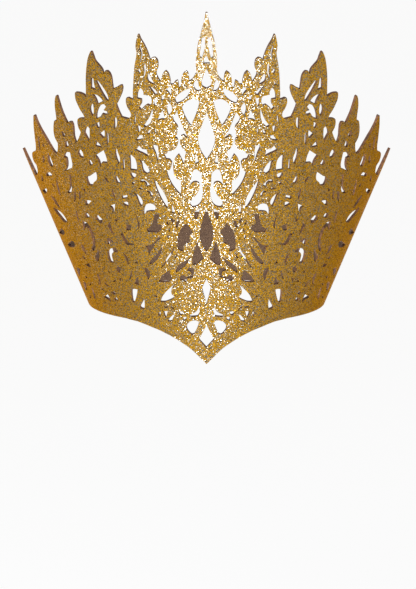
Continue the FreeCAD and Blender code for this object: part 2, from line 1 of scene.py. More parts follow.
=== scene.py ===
# %% [markdown]
# # A paper crown of gold glitter card
# The real crown is one sheet of thick glitter card, cut to a lace pattern and rolled into a cone that
# flares upward. Its two ends are glued one over the other behind the head. This script makes the sheet
# flat, as the cutting machine did, rolls it up, and then gives it its glitter.

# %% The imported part
import math

import bmesh
import bpy
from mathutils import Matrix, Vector


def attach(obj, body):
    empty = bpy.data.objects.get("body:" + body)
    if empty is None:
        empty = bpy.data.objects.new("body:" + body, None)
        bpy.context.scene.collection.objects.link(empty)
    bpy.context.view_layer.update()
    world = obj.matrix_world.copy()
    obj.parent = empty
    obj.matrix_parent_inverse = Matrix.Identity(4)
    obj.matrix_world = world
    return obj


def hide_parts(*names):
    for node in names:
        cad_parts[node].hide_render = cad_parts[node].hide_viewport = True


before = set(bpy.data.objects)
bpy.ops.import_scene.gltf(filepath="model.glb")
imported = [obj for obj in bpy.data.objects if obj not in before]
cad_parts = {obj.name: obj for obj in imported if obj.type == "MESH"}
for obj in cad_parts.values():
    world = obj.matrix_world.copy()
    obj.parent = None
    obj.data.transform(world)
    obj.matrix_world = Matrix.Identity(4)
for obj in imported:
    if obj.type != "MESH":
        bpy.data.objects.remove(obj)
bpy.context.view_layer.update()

# %% [markdown]
# ## Sizes
# A flat sheet that rolls into a cone is part of a big ring. Its centre is the tip that the cone would
# have if it went on downward, and APEX is the distance from there to the rim circle round the head.
# All pattern points below are millimetres on the flat sheet: x sideways from the front middle, y up.

# %% Sizes of the sheet
MM = 0.001
CARD = 1.8
RIM_RADIUS = 79.7
FLARE = math.radians(22.3)
APEX = RIM_RADIUS / math.sin(FLARE)
RIM_EDGE = 1.6
BACK_BAND = 50.0
LAP_FROM = 120.0
LAP_HALF = 3.75
LAP_PRESS = 0.25
LAP_LIFT = (CARD - LAP_PRESS) / (1 + math.cos(math.radians(LAP_FROM)))
print("the ring's radius at the rim:", round(APEX, 1), "mm")


def on_sheet(azimuth, slant):
    """Sheet point at an azimuth round the head, in degrees, and a height up the slope."""
    turn = math.radians(azimuth) * math.sin(FLARE)
    return ((APEX + slant) * math.sin(turn), (APEX + slant) * math.cos(turn) - APEX)


def spot(x, y):
    """Azimuth in degrees and height up the slope of a sheet point."""
    return (math.degrees(math.atan2(x, y + APEX) / math.sin(FLARE)), math.hypot(x, y + APEX) - APEX)


# %% [markdown]
# ## The pattern
# The lace was read from the photograph opening by opening: scrolls low at the front, leaves and
# petals above them, and narrow flames up each spike. The right half is listed, and the left is its
# mirror image. First come the six openings that sit on the middle line, of which half is enough.

# %% Openings on the middle line
MIDDLE_OPENINGS = [
    [(0, 1), (5, -10.7), (0, -17)],
    [(0, 37), (3, 29.7), (0, 16.6)],
    [(0, 90.2), (3, 80), (4.4, 72), (2.3, 61.3), (0, 57.7)],
    [(0, 160.5), (3.2, 150), (5.4, 140), (3.2, 131.5), (0, 126)],
    [(0, 191), (1.8, 186.5), (3.1, 182), (2.6, 178.8), (0, 177.2)],
    [(0, 201), (2.2, 194.9), (0, 194.9)],
]

# %% Openings low in the middle
LOW_MIDDLE = [
    [(5, 3.2), (6.4, 4.3), (8.9, 4.1), (11.4, 2.6), (12.9, 0.1), (13, -2.7), (11.7, -5.2),
     (9.7, -7.1), (8.1, -6.6), (7, -4.3), (5.6, -0.4)],
    [(5.3, 15), (6.4, 11.8), (8.6, 9.8), (10.8, 8.7), (11, 6.8), (8.3, 7.1), (5.8, 7.6),
     (4.5, 10.7)],
    [(15, 10.4), (17.8, 10.7), (18.1, 9.3), (17.2, 7.4), (15.8, 7.9)],
    [(13.3, 6.8), (15, 6.4), (15.6, 4.8), (15, 3.2), (13.7, 4.3)],
    [(17.2, 4.3), (17, 2.3), (18.3, 0.1)],
    [(20.8, 7.3), (22.2, 7.1), (24.2, 4.3), (25.6, 2), (25, 1.1), (23.3, 1.8), (22, 4.8)],
    [(25.6, 9.5), (28.5, 8.8), (28.2, 6), (27, 3.5), (26.5, 6)],
    [(30.6, 7.6), (31.7, 7.6), (32, 5), (31.1, 3.4)],
    [(23.4, 15), (23.4, 12.6), (20.5, 10.1), (21.8, 12.6)],
    [(25.1, 13.5), (28.4, 12.7), (27.6, 11.7), (25.4, 12.2)],
    [(32.1, 20.4), (34.6, 19.6), (33.2, 18.6)],
]

# %% Scrolls above the point
SCROLLS = [
    [(7.9, 44.6), (11.2, 45.4), (12.6, 43.5), (12.3, 42.6), (10.4, 42.1), (9.8, 40.2), (11.2, 38.2),
     (13.2, 37.9), (14.8, 39.3), (16.2, 38.8), (17.5, 36.6), (17.3, 34.7), (15.1, 34.6),
     (13.4, 33.5), (12.3, 36.8), (8.4, 37.7)],
    [(10.1, 53.8), (13.2, 50.7), (17.1, 47.4), (19.3, 44.3), (20.1, 41.8), (19.7, 40.2),
     (17.6, 42.4), (14.3, 45.7), (11.8, 49.9)],
    [(5.9, 65.2), (1.8, 52.3), (6.5, 47.3), (9, 47.2), (9.3, 50), (8, 58)],
    [(18.6, 57), (19, 52.7), (20.9, 51)],
    [(21.5, 62.4), (22.4, 57), (24.8, 52.7), (27.6, 47.1), (30.4, 42.4), (28.4, 43.8), (25.9, 48.2),
     (23, 53.2), (21.4, 57)],
    [(28.7, 59.9), (32.6, 52.7), (35.4, 48.8), (37.6, 45.4), (37.6, 43.6), (35.4, 44.9),
     (32.1, 49.3), (30, 53.2)],
    [(24.3, 41.4), (27.6, 38.8), (29.8, 35.4), (31.8, 31.4), (28.2, 31.6), (25.4, 32.4),
     (22.3, 35.2), (23.4, 38.2)],
    [(20.4, 31.8), (23.7, 28.2), (26.8, 24.3), (29.3, 19.9), (30.8, 15.7), (27.6, 16.3),
     (24.3, 18.2), (21.2, 20.5), (21.2, 21.8), (22.9, 23.2), (23.2, 25.7), (22.3, 28.8),
     (20.7, 30.7)],
    [(12.7, 78.8), (14.9, 76.6), (17.2, 72.4), (18.5, 67.7), (18.8, 62.4), (18.6, 58.5),
     (16.3, 57.2), (14.6, 57.6), (14.5, 61.9), (13.5, 63), (11.9, 63.3), (10.9, 64.7), (10.9, 68),
     (9.9, 70.5), (8.5, 71.8), (10.2, 74.9)],
]

# %% The big leaves of the middle
LEAVES = [
    [(23.4, 74.2), (24.2, 73.4), (24.4, 70.8), (23.5, 71.4)],
    [(24.5, 69), (25.4, 67.8), (25.1, 65.2), (24.3, 66.4)],
    [(4.2, 90.2), (7.5, 88), (8.1, 85.5), (7, 81.9), (5.9, 82.2), (4.9, 86.1)],
    [(18.5, 87.7), (18.3, 85.3), (16, 83.8)],
    [(22.2, 92), (22.4, 89.1), (22.2, 85.5), (20.7, 85.2), (21, 89.7)],
    [(17.4, 80.5), (18.8, 80.2), (19.9, 75.8), (19.4, 74.6), (18, 76.6)],
    [(20.2, 80.7), (23.5, 81.3), (21.6, 77.3)],
    [(25.4, 80.2), (26, 77.2), (24.1, 75.5)],
    [(32.8, 88.3), (33.8, 90), (36, 90.7), (39, 89.6), (40.7, 86.1), (41, 80.4), (39.5, 83.5),
     (36.5, 84.7), (33.9, 85)],
    [(30.7, 83.3), (33.4, 83.4), (34, 81.9), (34.5, 79.7), (35, 76.3), (36.7, 73), (39.4, 71),
     (38.5, 68.2), (36, 69), (33.1, 69.1), (30.6, 70.2), (28.9, 73), (29.2, 75.5), (31.7, 75.8),
     (31.8, 78.6), (30.7, 81.3)],
    [(29.8, 66.1), (31.7, 66.3), (32.3, 64.7), (33.9, 61.9), (36.5, 59.3), (40.7, 57.5), (39, 55.5),
     (38.4, 50), (36.5, 54), (34.9, 57), (33.5, 61), (31, 64)],
    [(6.4, 119.2), (8, 118.6), (9.1, 116.1), (9.5, 113.3), (10.5, 108.9), (10.5, 106.7),
     (8.6, 109.2), (6.6, 109.7), (5, 108.9), (4.4, 106.7), (4.9, 103.6), (6.4, 100.6), (8.4, 97.8),
     (10.1, 95), (10.4, 92.4), (9.2, 90.9), (5.9, 91.8), (3.9, 94.1), (2.6, 98.9), (2.3, 103.3),
     (2.9, 108.9), (4.1, 117.2)],
    [(6.5, 130.3), (7.2, 126), (7.1, 122.7), (4.9, 124)],
    [(12.9, 131.9), (14, 125.6), (14.5, 122.1), (16, 126.1), (17.6, 129.4), (19.9, 126.1),
     (21, 122.8), (21.1, 117.8), (20.1, 113.3), (17.9, 110.8), (16.2, 110.4), (16.2, 104.4),
     (16.5, 99.4), (19, 102.2), (22.4, 107.2), (25.4, 115.6), (23.2, 117.8), (22.3, 120.6),
     (22, 123.1), (23.5, 125), (25.7, 125.1), (27.4, 128.6), (25.1, 129.4), (24.3, 131.4),
     (21.8, 131.7), (19.9, 133.3), (18.4, 135.8), (18, 139), (18.6, 140.9), (20.3, 141.6),
     (18.9, 142.6), (18.6, 145), (18, 149), (20.8, 153.5), (21.2, 156), (18.5, 160), (15, 150),
     (13.2, 145.5), (11.3, 141.5), (12.4, 141.9), (14.3, 143.7), (16, 142.8), (16.8, 139.4),
     (16.2, 136), (14.6, 133.4)],
    [(31, 134.4), (34, 134.8), (34.2, 132.8), (32.9, 129.4), (31, 121.7), (30.5, 128.9)],
    [(33.9, 109.5), (32.7, 103.9), (30.2, 97.2), (26.9, 90.8), (25.5, 88.9), (24.7, 91.9),
     (25.5, 96.1), (27.2, 100), (30.8, 105.6)],
]

# %% The top of the middle
MIDDLE_TOP = [
    [(4.3, 168), (5.6, 169.2), (8.5, 169.8), (11.8, 168.5), (14, 166), (15.4, 163.4), (14.5, 159.5),
     (9.8, 150.4), (6, 160.5)],
    [(10.4, 177.5), (18.9, 171), (19.9, 169.3), (18.8, 166), (17.4, 166.5), (10.4, 175)],
    [(6, 183.8), (8, 180.6), (7.9, 178), (6, 175.5), (4.2, 175.3), (4.9, 180)],
    [(23, 178), (25.5, 175.2), (23.5, 173), (22.6, 171.3), (22, 175)],
    [(23.6, 166.4), (24.9, 162), (23.8, 156.9), (21.6, 160.8), (21.8, 163.6)],
    [(27.6, 160.4), (29.4, 157), (31, 152.4), (28.6, 153.8), (26.2, 153.8), (26.6, 157)],
    [(26.8, 170.9), (28.1, 171), (28.3, 167.4), (27, 167.6), (26.2, 169.2)],
    [(30.2, 171.6), (33, 175.4), (36.5, 177), (34, 173.4), (32.4, 171)],
    [(30.6, 169.4), (32.2, 168.4), (33.2, 164.2), (32.4, 162.4), (31.3, 165.6)],
    [(0.9, 213.3), (2.7, 213), (3.5, 207), (4.3, 199.8), (3, 198.2), (1.5, 203.5)],
]

# %% Second spike
SECOND_SPIKE = [
    [(41.5, 205.2), (41.8, 203), (40.9, 199.5), (42.2, 192), (40.8, 195), (39.9, 199), (40.4, 202)],
    [(38.1, 192.5), (39.4, 190), (39.2, 186.5), (40.2, 181.5), (38.6, 184.5), (38, 189)],
    [(42.3, 188.8), (43.2, 186.3), (42.2, 184.5), (41.2, 186.6)],
    [(42.3, 180), (44, 176.8), (42.9, 176)],
    [(36, 186), (37.1, 182.9), (36.4, 179.8), (33.7, 178.3), (32.7, 179), (34.2, 182)],
    [(35.3, 169.6), (39.8, 170.2), (40.3, 173.5), (41.5, 174.8), (43.2, 171.8), (43.9, 166.8),
     (41.2, 166.5), (41.3, 163), (43, 160.5), (41.5, 158.8), (39.2, 161.8), (37.4, 163.4),
     (35.7, 162.8), (34.7, 164.6), (34.7, 168)],
    [(34.2, 161), (35.3, 157), (36.8, 153), (40.2, 147.6), (38.6, 146.8), (36.4, 149), (34.4, 154)],
]

# %% Lace under the second spike
SECOND_COLUMN = [
    [(32, 146.8), (33, 146.4), (32.8, 142.8), (31.9, 143.6)],
    [(45.1, 156), (45.9, 152), (46.4, 147.6), (45.2, 151)],
    [(36.4, 114), (38, 118.4), (40.8, 121.3), (44.1, 122.7), (42, 119.9), (41.4, 116.5),
     (40.5, 113.6), (38.6, 112.4)],
    [(45.1, 113.6), (45.1, 118.7), (46.2, 122.5), (48.7, 124.6), (50, 124.5), (49.6, 119),
     (49.6, 113.4)],
    [(45.5, 110.9), (47.5, 111.5), (49.7, 111.1), (49, 108.8), (47.8, 107.2), (46.2, 108.1)],
    [(46.6, 104.7), (49, 104.5), (48.9, 103.2), (47.4, 102.4)],
    [(43.4, 105.9), (42.5, 107.2), (40.6, 107.9), (38.7, 107), (36.2, 104.2), (38.7, 102.7),
     (38.9, 104.8), (40.5, 106.2), (42.3, 105.6)],
    [(41, 100.2), (42, 101.6), (44.7, 100.9), (43, 99.8)],
    [(34.8, 96), (34.8, 98.5), (36.3, 100.1), (38.8, 99.9), (38.6, 98.9), (36.8, 98.6), (36.1, 96)],
    [(48.4, 97.2), (46.3, 94.9), (45, 91.5), (44.1, 89), (43, 87.3), (41.7, 89.1), (41.6, 91.6),
     (43.2, 94.4), (46, 96.4)],
    [(52.3, 93.8), (54, 92.8), (56.3, 92.2), (55.9, 89.6), (53.5, 90.8), (52, 91.5)],
    [(51.8, 88.4), (53.8, 88), (55.6, 85.8), (53.2, 85), (51.4, 85)],
    [(47.4, 83), (46.3, 79), (45.3, 73.5), (45, 69.5), (43.9, 71.5), (45.2, 77.2)],
    [(50.2, 71.3), (53.5, 70.6), (53.8, 66), (51, 66.7), (50.2, 68.6)],
    [(59.4, 74), (62.3, 71.4), (60.9, 70.3), (59.7, 72)],
    [(61.3, 84.3), (63.6, 82.7), (65.8, 80.8), (64.2, 80.3), (63.4, 78.5), (63.8, 75.9),
     (62.4, 77.8), (61.6, 81.4)],
    [(62.8, 96.5), (63.2, 94), (62, 89), (61.2, 87.3), (60.9, 90), (61.9, 93.5)],
    [(59.6, 106.7), (60.3, 104.7), (59, 100.7), (56.5, 101.5), (57.6, 103.8)],
    [(68.4, 103.6), (68.2, 101.7), (66.2, 99.7), (65.2, 100.3), (66.8, 102.6)],
    [(38.3, 130.6), (41, 130.4), (43.6, 132.9), (44.5, 130.3), (46, 129), (43.8, 128), (40.6, 127),
     (37.3, 125.3)],
    [(40.7, 140.4), (43, 140.4), (43.6, 138.5), (46.2, 136.2), (43.8, 136.4), (41, 137.8)],
    [(42, 147), (44.5, 147.4), (43.9, 144.8), (43.6, 142), (42.4, 144)],
    [(35.3, 146), (37, 144), (37.8, 141.8), (36, 142.6)],
    [(53.6, 120.2), (54.8, 119.8), (54.6, 112.3), (53.3, 113.5)],
    [(58.5, 127.2), (59.6, 126), (59.6, 121), (57.5, 115.5), (56.6, 121), (57.7, 124)],
    [(58.3, 150.5), (59.8, 149), (59.8, 141.2), (58.6, 143)],
]

# %% Third spike
THIRD_SPIKE = [
    [(63.2, 161.2), (64, 166), (66.5, 170), (70.2, 174.5), (72, 174.3), (69, 168.3), (64.6, 161.3)],
    [(73.4, 175.2), (75, 175.4), (75.4, 167.5), (72, 167), (73, 171)],
    [(67.2, 160), (69.2, 162.5), (72.5, 163.8), (74.6, 163.2), (72.7, 160.8), (71.3, 156.7)],
    [(65.2, 156.6), (66.6, 158.2), (68.6, 157), (71, 153.2), (72.3, 149), (72.6, 145.6),
     (69.6, 148), (68.2, 150.6), (66.6, 150.4), (64.2, 151.2), (64.6, 153.2), (67, 153.6)],
    [(74.6, 156.4), (76.2, 154.4), (76.2, 148), (75.2, 146.6), (74.2, 150)],
    [(70.5, 143.8), (73, 142), (72.2, 139), (70.3, 139.8)],
    [(67, 138.7), (70.8, 134.6), (67.9, 132.2), (66.8, 135.6)],
    [(73, 129), (74.3, 124.5), (69.1, 125), (71.1, 127.3)],
    [(68.2, 123.3), (74.9, 117), (72.5, 114.3), (71.5, 108.7), (70, 113.4), (65.7, 114.4),
     (66.3, 118.2)],
    [(64.5, 137.5), (65.6, 136.5), (65.6, 128.3), (64.6, 129), (64.2, 134)],
]

# %% Scrolls low on the side
LOW_SIDE = [
    [(42.3, 15.9), (43.3, 13), (45.8, 7.7), (45.3, 6.6), (42.4, 6.5), (41.9, 10.7)],
    [(46.9, 21.2), (49.4, 20.9), (51.6, 19.4), (51.8, 15), (51.2, 9.5), (49.8, 9.7), (48.2, 14.4)],
    [(64.6, 10.9), (66.7, 12.1), (68.7, 10), (66.9, 9)],
    [(62.6, 5.2), (64.4, 7.8), (67.2, 5.7), (66, 4.2), (64.4, 5.6)],
    [(69.7, 2.2), (72.5, 6.6), (77.2, 1.4), (73.2, 1.8), (70.5, 1)],
    [(70.5, 14.3), (75.2, 16.8), (74.5, 15), (72, 13.2)],
    [(40.2, 40.7), (41.6, 39.3), (40, 34.7), (38.9, 31), (37.6, 34.5), (37.5, 37), (38.6, 39.7)],
    [(56.3, 63.6), (58.4, 61.4), (57, 60.8), (56, 57.5), (53.5, 54.5), (51, 55.3), (48.3, 56.4),
     (52.4, 57.1), (54.8, 60.2)],
    [(66, 69), (67.8, 65), (66.4, 62.6), (62.8, 58.6), (64.3, 63), (65.3, 66.3)],
    [(63.9, 54), (67.7, 55.6), (68.8, 53.8), (68.7, 49.2), (66.6, 51.5)],
    [(60.3, 46.9), (61.4, 48.4), (63.9, 48.6), (66.8, 46.8), (69, 43.8), (69.2, 40.5), (67.8, 35.4),
     (64.4, 36), (65.5, 39.4), (65.8, 43), (63.8, 45.7), (61.9, 46)],
    [(56.8, 47.5), (55.5, 44.5), (54.4, 41.6), (53.4, 38.5), (52.8, 42), (54.2, 45.7)],
    [(46.7, 44.7), (48.2, 41.9), (46, 42)],
    [(58.9, 34.8), (61.9, 34.8), (63, 32.2), (61.7, 29.8), (60.3, 30.2), (59.4, 32.8)],
    [(46, 32), (47.5, 29.5), (49, 25.2), (45.5, 25.2)],
    [(50.8, 35.5), (52, 31), (53, 27), (51.4, 29.5), (50.4, 33)],
    [(58.6, 26.9), (61.5, 24.6), (60, 23)],
    [(63.8, 24), (66, 20.6), (64.2, 20.4)],
    [(68.2, 26.5), (69.8, 28.3), (70.2, 26.2)],
]

# %% Lace under the fourth spike
FOURTH_COLUMN = [
    [(87.2, 21.8), (88.6, 24.2), (93, 21), (89.5, 20.4)],
    [(92.2, 26), (93.4, 27.2), (95.6, 27), (94, 24.6)],
    [(78.8, 18.5), (79.4, 20.2), (81.6, 19), (80.4, 15.8), (80, 10.5), (78.6, 12), (78.5, 16)],
    [(76.2, 9.2), (77.8, 9.2), (78.6, 7.2), (77, 7.8)],
    [(88.9, 2), (91.2, 1.2), (90, -3), (90.2, -7), (88.6, -7.7), (87.2, -5), (87.8, -1)],
    [(89.7, 6.5), (91, 5.5), (93, 1.8), (91.6, 3)],
    [(93.7, 8.3), (95.2, 8.9), (97.5, 7), (96, 6)],
    [(98, 0.5), (100.4, 0), (103.3, -3.7), (103, -10), (100, -7), (98.5, -2.5)],
    [(95, -8), (97, -11), (98.5, -13.5), (95.6, -12)],
    [(102.8, 9.9), (105.5, 9), (109, 6.5), (110, 2), (108.5, -1), (106, 3), (104, 7)],
    [(77.5, 42.2), (78.7, 39), (81.4, 33.8), (79.6, 30.4), (78.3, 31.6), (77.1, 36), (76.7, 40)],
    [(79.8, 44), (79.4, 48), (80.3, 52.2), (82.1, 56.5), (84.8, 59.2), (87.2, 59.7), (90.1, 58.9),
     (90.2, 56.8), (89.2, 51.5), (88, 54), (87.1, 56), (85, 55.5), (83.2, 52), (82.2, 47),
     (82.3, 43.5), (84.2, 39), (83, 37.3), (81.2, 39.8)],
    [(92.7, 37.6), (94.9, 36.6), (94.2, 33.6), (92.3, 31.5), (89.3, 30.4), (90.6, 33.4),
     (91.5, 35.5)],
    [(94.4, 65.4), (95.6, 63.5), (95.4, 60), (94.6, 57), (93.6, 54.6), (93.7, 59)],
    [(71.8, 68.3), (75, 70.5), (77.7, 68.5), (76.5, 66.2), (74, 64.5), (72.4, 65)],
    [(82.5, 66), (83.8, 68), (86.2, 68), (87, 65.5), (86, 63.8), (84.6, 64.4)],
    [(80, 79.9), (82.8, 79.4), (85.3, 77.6), (85.4, 74.8), (83.8, 74.6), (82.2, 77)],
    [(74.8, 104.6), (77, 102.5), (79.5, 100), (82.7, 98), (82.8, 95.5), (81.2, 92), (78, 92.8),
     (77, 95.7), (74.8, 98.2)],
    [(84.5, 87.3), (86.5, 87.6), (86.8, 85.8), (85, 85.1)],
    [(93.8, 81.5), (95.2, 80.5), (95.8, 76), (96.4, 71.4), (94.8, 74)],
    [(89.3, 83.8), (90.6, 83), (91, 77), (90, 76.4), (89.2, 80.5)],
    [(96.4, 94.4), (98.1, 93.2), (98, 87), (98.9, 82.5), (102.4, 76.4), (99.6, 77.2), (97.4, 80.5),
     (96.6, 86)],
    [(95.4, 112), (97.5, 111.4), (101.6, 105.8), (99.6, 105.6), (99.2, 102), (99.8, 98.4),
     (102.4, 93.6), (98.4, 97), (95, 99.8), (94.2, 103), (94.8, 108)],
]

# %% Fourth spike
FOURTH_SPIKE = [
    [(78, 136.8), (79.2, 138), (80.6, 136.4), (82.1, 131.5), (81, 129.8), (78.9, 126),
     (78.2, 130.6)],
    [(84.3, 115.6), (85.6, 117.8), (87.4, 117.5), (88.6, 114), (87.2, 111.8), (84.4, 111.8)],
    [(76.5, 110), (78.6, 112.9), (80.4, 110.5), (79.4, 108)],
    [(96, 117.6), (97, 120.6), (98.6, 119), (99, 114.8), (97.2, 115.5)],
    [(98.2, 123.4), (99.3, 126), (100.5, 126.8), (101.5, 125), (100.5, 122.2)],
]

# %% Fifth spike and the side
FIFTH_SPIKE = [
    [(115, 97), (116.3, 99.8), (117.6, 100.6), (118.6, 98), (118.8, 93), (117.4, 90.2), (114.8, 91),
     (113.8, 93.2)],
    [(120.6, 106), (122.2, 107), (122.8, 104), (121.3, 103)],
    [(125.2, 110.2), (127, 109), (127.4, 104), (127.8, 98.4), (126.6, 98), (125.8, 104)],
    [(123.4, 96), (124.8, 94), (126, 88.6), (124.4, 88.8), (123.2, 92)],
    [(116.8, 83.3), (119, 84.2), (122, 81.8), (125.7, 79), (124.4, 77.3), (121, 79.6), (118.5, 81)],
    [(112, 82.9), (113, 79), (112.7, 72), (111.5, 68.7), (110.1, 70), (110.2, 73), (111.3, 78.2)],
    [(116, 74.2), (118.4, 75.3), (119.3, 73.6), (117.2, 72.4)],
    [(129, 63.5), (131, 62.6), (135.5, 58.6), (141, 53.5), (136, 54.5), (131.5, 58.5)],
    [(131.5, 74), (133.2, 72), (135, 67.2), (133.2, 67.2), (131.4, 70)],
    [(107.8, 48.8), (110, 51.8), (113, 52.8), (119, 52), (124, 51), (125.5, 48.5), (122, 47),
     (118, 46.4), (114.5, 45.5), (110, 46.3)],
    [(113.8, 56.2), (115.3, 58.8), (118, 61), (120.3, 61.5), (123.5, 62.2), (124, 60), (120, 57),
     (116.5, 56)],
    [(103.3, 33.8), (105.6, 33.3), (108.5, 30.6), (112.5, 26.5), (115.5, 22.8), (112.5, 23.3),
     (108, 26), (104.5, 28.5), (103, 31)],
    [(115.6, 35.4), (120.3, 34.8), (122.5, 31.6), (126, 27.5), (130, 23), (125, 25.5), (120, 28.8),
     (116.8, 31.8)],
]

# %% [markdown]
# ## The outline
# The upper edge runs over eleven tall spikes with flames and curls between them. Each list below is one
# run from a spike's tip down into the valley and up to the next tip. Behind the ears the edge falls
# along a plain flank to a narrow band. The lower edge has a point at the front.

# %% Upper edge, from the middle spike outward
SPIKES = [
    [(0.6, 230), (1.2, 225.3), (2.3, 220.8), (3.6, 215.3), (4.9, 210), (5.9, 204), (6.5, 198.7),
     (6.6, 193), (6.4, 190.5), (7.8, 185.2), (10, 182.6), (10.8, 182.2), (11, 185.5), (11.6, 188.2),
     (12.5, 189.2), (14, 188), (15.3, 185.5), (15.8, 181), (16, 178.5), (17.2, 176.9), (17.5, 180),
     (18, 182.6), (19.6, 181.5), (20.6, 179.5), (22.4, 179.3), (22.9, 184.2), (23.8, 187),
     (25.4, 188.7), (27.2, 186.5), (28.2, 183.3), (29, 180.8), (30, 182.5), (31.4, 185.8),
     (31.3, 187.7), (30.3, 190), (30.1, 193.5), (30.8, 196.2), (32.2, 197.4), (33.8, 196.9),
     (35.2, 195.4), (37, 201.4), (38.8, 205.5), (40.8, 209), (42, 212.2)],
    [(42.9, 212.2), (43.6, 209.3), (44.4, 203.8), (43.8, 199.3), (44.5, 194.5), (45.4, 189),
     (46, 182), (46.4, 175.5), (46.7, 170), (46.7, 165.4), (48.2, 165.8), (49.8, 166.3),
     (51.3, 165.6), (51.4, 162), (50, 158.3), (48.4, 155.6), (48.5, 153), (50, 150.8),
     (54.6, 151.2), (56.2, 154.6), (58, 159.6), (55.6, 164.8), (54, 169), (53.4, 173),
     (53.8, 174.6), (55.2, 174.2), (57.5, 172.2), (60, 170.6), (60.4, 174.6), (60.9, 179),
     (62, 181.7), (63.6, 182.9), (65.3, 182.3), (66.3, 179.8), (67, 183.2), (68.8, 185.4),
     (71.6, 188.2), (72.8, 191.5), (73.8, 194.3)],
    [(74.9, 194.2), (76.6, 189.8), (77.9, 183.3), (78.8, 175.4), (79.2, 165.5), (79.5, 159.8),
     (81, 161), (84.2, 161.5), (87.6, 160.7), (87.5, 155.6), (86, 152), (84, 148.3), (81.7, 145.2),
     (81.3, 143), (84.4, 142.4), (86.8, 141), (87.2, 138), (86.5, 134.4), (84.9, 131.8),
     (85.9, 129), (88, 124.3), (89.7, 121.6), (91, 126), (91, 131.5), (91.4, 135.4), (92.2, 136.8),
     (93.8, 136.4), (95.9, 134.6), (97.4, 137.3), (99.4, 141.5), (101.2, 147.3), (102.6, 152.6)],
    [(103.6, 152.6), (104.6, 149.5), (105.2, 145), (104.9, 136), (105, 132.2), (107.1, 131.8),
     (108.3, 127), (108.7, 121.5), (108, 117.7), (105.9, 114.8), (106.5, 110), (108.2, 104.8),
     (110.5, 105), (114, 108.2), (118, 112.8), (122.5, 117.8), (125.2, 121.8), (126.9, 126.4)],
    [(128, 126.2), (129.6, 118), (131, 106), (132.2, 97), (133.6, 93.6), (137, 91), (140.3, 87.3),
     (141.8, 82.8), (141.2, 79.4), (137.8, 78.4), (138.3, 73.5), (140.7, 69), (145, 64.6),
     (148.5, 61.8), (153, 66.4), (158.5, 70.4), (164.6, 74)],
]

# %% Lower edge and the plain back
POINT_EDGE = [(0, -30), (3.9, -25.5), (10, -18.7), (16.6, -13.8), (21.6, -10.9), (27, -8.6),
              (32, -7), (37.5, -6), (42, -5.3), (47.8, -5)]
# The flank falls from the last tip to the band: degrees past the tip, and share of the height.
SIDE_FLANK = [(4.3, 0.782), (7.3, 0.55), (11.3, 0.377), (16.8, 0.203), (24.3, 0.043)]
# A leaf-shaped opening of the band: degrees from its middle, and share of the band's height.
LEAF = [(0.0, 0.8), (-1.7, 0.66), (-2.3, 0.5), (-1.5, 0.34), (0.0, 0.24), (1.5, 0.34), (2.3, 0.5),
        (1.7, 0.66)]
BACK_LEAVES = [86.25, 101.25, 116.25, 131.25, 146.25, 161.25]
# Degrees from the last tip to the band's straight top, and from the point's edge to its straight rim.
TIP_TO_BAND = 27.0
POINT_TO_RIM = 7.0

# %% [markdown]
# ## Smooth cuts
# A laser draws smooth curves, so a curve is laid through the listed points. Where the path turns
# sharply it is a true corner, as at the end of a scroll, and it stays one.

# %% A curve through the points
STEP = 1.3
CORNER = 42
RHOMB_CORNER = 15
PULL = 0.9


def smooth(points, closed=True, corner=CORNER):
    """Points along a curve through the given ones, about STEP apart. A turn of more than corner
    degrees stays a sharp one, and PULL says how far the curve swings out between two points."""
    straight = math.cos(math.radians(corner))
    points = [Vector(p) for p in points]
    count = len(points)
    tangents = []
    for k, here in enumerate(points):
        if not closed and k in (0, count - 1):
            tangents.append(None)
            continue
        before = here - points[k - 1]
        after = points[(k + 1) % count] - here
        if before.normalized().dot(after.normalized()) < straight:
            tangents.append(None)
        else:
            tangents.append((before.normalized() * after.length
                             + after.normalized() * before.length).normalized())
    path = []
    for k in range(count if closed else count - 1):
        start, end = points[k], points[(k + 1) % count]
        chord = end - start
        leave, arrive = tangents[k], tangents[(k + 1) % count]
        if leave is None and arrive is None:
            leave = arrive = chord.normalized()
        elif leave is None:
            leave = (2 * chord.normalized() - arrive).normalized()
        elif arrive is None:
            arrive = (2 * chord.normalized() - leave).normalized()
        leave, arrive = leave * chord.length * PULL, arrive * chord.length * PULL
        steps = max(1, round(chord.length / STEP))
        for n in range(steps):
            t = n / steps
            path.append(start * (2 * t ** 3 - 3 * t ** 2 + 1) + leave * (t ** 3 - 2 * t ** 2 + t)
                        + end * (3 * t ** 2 - 2 * t ** 3) + arrive * (t ** 3 - t ** 2))
    if not closed:
        path.append(points[-1])
    return path


def mirrored(points):
    return [Vector((-x, y)) for x, y in reversed(points)]


def ring_arc(from_azimuth, to_azimuth, slant, step=3.0):
    """Points along the sheet at one height up the slope."""
    stops = max(1, math.ceil(abs(to_azimuth - from_azimuth) / step))
    return [on_sheet(from_azimuth + (to_azimuth - from_azimuth) * n / stops, slant)
            for n in range(stops + 1)]


# %% [markdown]
# ## The outline as one loop
# It goes up over the spikes of the right half, down the plain flank, along the top of the back band to
# the glued end, back along the lower edge to the front point, and the same way round on the left.

